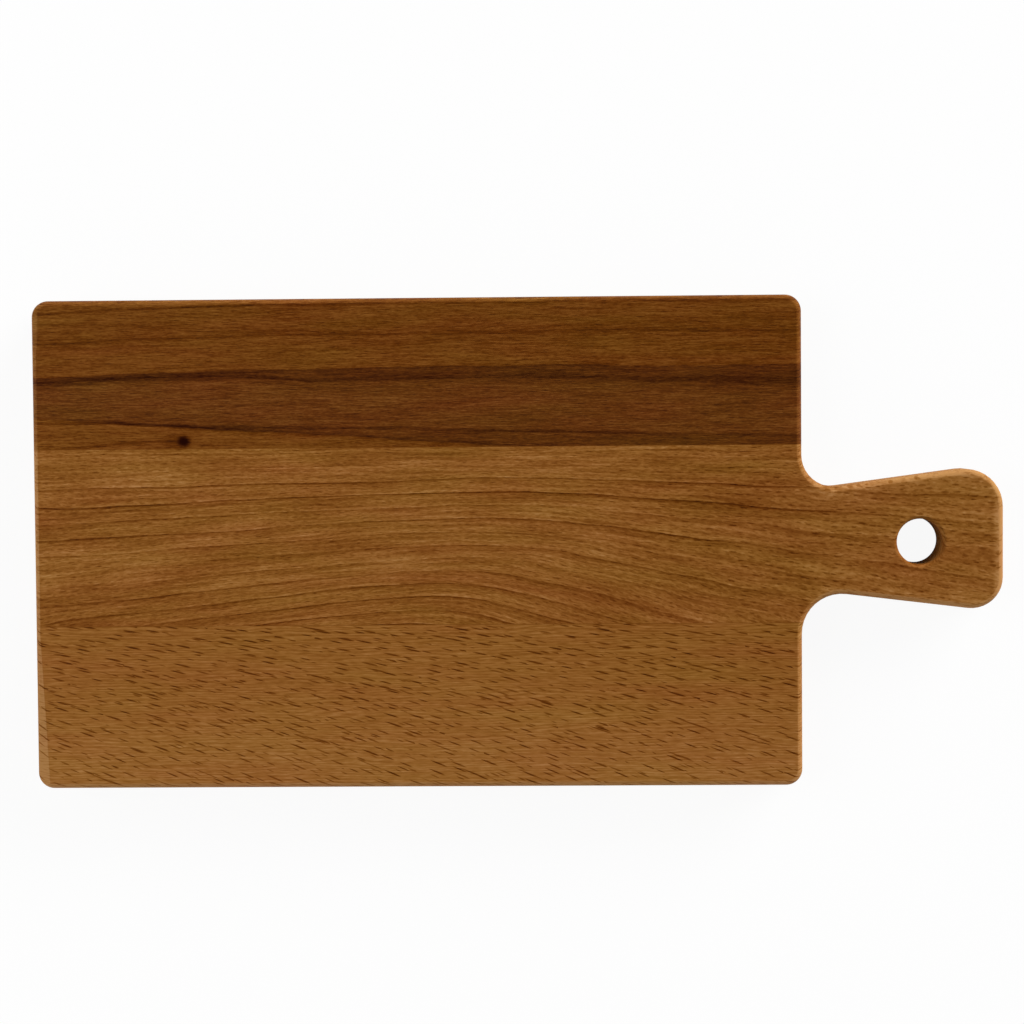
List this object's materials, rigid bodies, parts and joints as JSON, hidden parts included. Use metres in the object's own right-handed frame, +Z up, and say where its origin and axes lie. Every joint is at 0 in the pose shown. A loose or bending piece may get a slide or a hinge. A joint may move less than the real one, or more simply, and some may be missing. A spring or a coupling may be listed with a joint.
{
  "type": "cutting board",
  "caption": "Paddle-shaped wooden cutting board, edge-glued from beech staves, with a flared handle, a hanging hole and rounded edges.",
  "frame": {"origin": "middle of the underside: the centre of the bounding box's lower face", "axes": "+X along the grain towards the handle's end, +Y across the board towards the dark stave, +Z up out of the cutting face"},
  "size_m": [0.3952, 0.2, 0.02],
  "materials": {
    "beech_dark_heart": "oiled satin, dark heartwood stripe and a pin knot",
    "beech_flat_sawn": "oiled satin, arching flat-sawn grain",
    "beech_flecked": "oiled satin, slanting ray flecks",
    "cured_glue": "cured wood glue, sanded flush and oiled"
  },
  "bodies": {
    "root": {"upper_stave": "beech_dark_heart", "middle_stave": "beech_flat_sawn", "lower_stave": "beech_flecked", "upper_glue_line": "cured_glue", "lower_glue_line": "cured_glue"}
  },
  "joints": []
}
